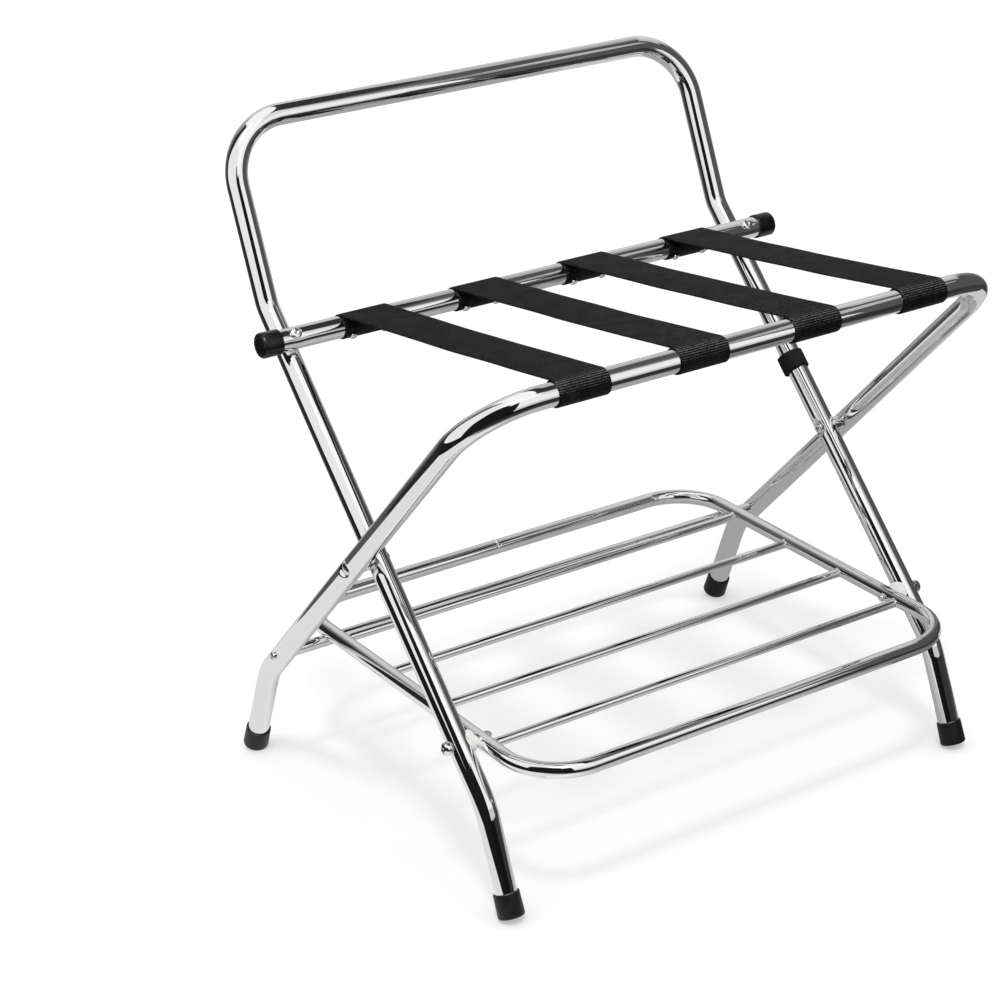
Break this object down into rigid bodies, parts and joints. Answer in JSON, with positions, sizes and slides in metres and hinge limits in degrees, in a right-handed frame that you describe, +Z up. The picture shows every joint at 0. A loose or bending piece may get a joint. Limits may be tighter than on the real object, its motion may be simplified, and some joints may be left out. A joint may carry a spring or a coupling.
{
  "type": "folding luggage rack",
  "caption": "Folding X-frame luggage rack of chromed tube with webbing straps, a low backrest hoop and a lift-up slatted shelf.",
  "frame": {"origin": "on the floor under the middle of the rack's box", "axes": "+X to the rack's right, seen from its front; +Y to the back, where the backrest is; +Z up"},
  "size_m": [0.6404, 0.5162, 0.6765],
  "materials": {
    "chromed_tube": "bright chrome plate on steel tube",
    "plated_fastener": "zinc-plated steel, slightly dull",
    "black_rubber": "satin moulded rubber",
    "webbing": "ribbed polyester webbing",
    "band_fabric": "hook-and-loop tape",
    "white_nylon": "natural white nylon"
  },
  "bodies": {
    "inner_side": {"backrest_frame": "chromed_tube", "rear_cross_tube": "chromed_tube", "cross_tube_cap_left": "black_rubber", "cross_tube_cap_right": "black_rubber", "cross_tube_screws": "plated_fastener", "foot_front_left": "black_rubber", "foot_front_right": "black_rubber", "strap_1": "webbing", "strap_2": "webbing", "strap_3": "webbing", "strap_4": "webbing", "strap_screws_rear": "plated_fastener", "pivot_rivet_left": "plated_fastener", "pivot_rivet_right": "plated_fastener", "pivot_spacer_left": "plated_fastener", "pivot_spacer_right": "plated_fastener", "shelf_bolt_left": "plated_fastener", "shelf_bolt_right": "plated_fastener", "shelf_spacer_left": "white_nylon", "shelf_spacer_right": "white_nylon", "shelf_nut_left": "plated_fastener", "shelf_nut_right": "plated_fastener", "keeper_band": "band_fabric"},
    "outer_side": {"outer_frame": "chromed_tube", "lower_cross_rod": "chromed_tube", "lower_cross_screws": "plated_fastener", "foot_rear_left": "black_rubber", "foot_rear_right": "black_rubber", "strap_screws_front": "plated_fastener"},
    "shelf": {"shelf_frame": "chromed_tube", "shelf_slat_1": "chromed_tube", "shelf_slat_2": "chromed_tube", "shelf_slat_3": "chromed_tube", "shelf_slat_4": "chromed_tube"}
  },
  "joints": [
    {"name": "fold", "type": "hinge", "parent": "inner_side", "child": "outer_side", "pos_m": [0, -0.01105, 0.2926], "axis": [-1, 0, 0], "range_deg": [0, 77], "deforming": ["strap_1", "strap_2", "strap_3", "strap_4"]},
    {"name": "shelf_lift", "type": "hinge", "parent": "inner_side", "child": "shelf", "pos_m": [0, -0.14461, 0.15012], "axis": [1, 0, 0], "range_deg": [0, 46.2]}
  ]
}
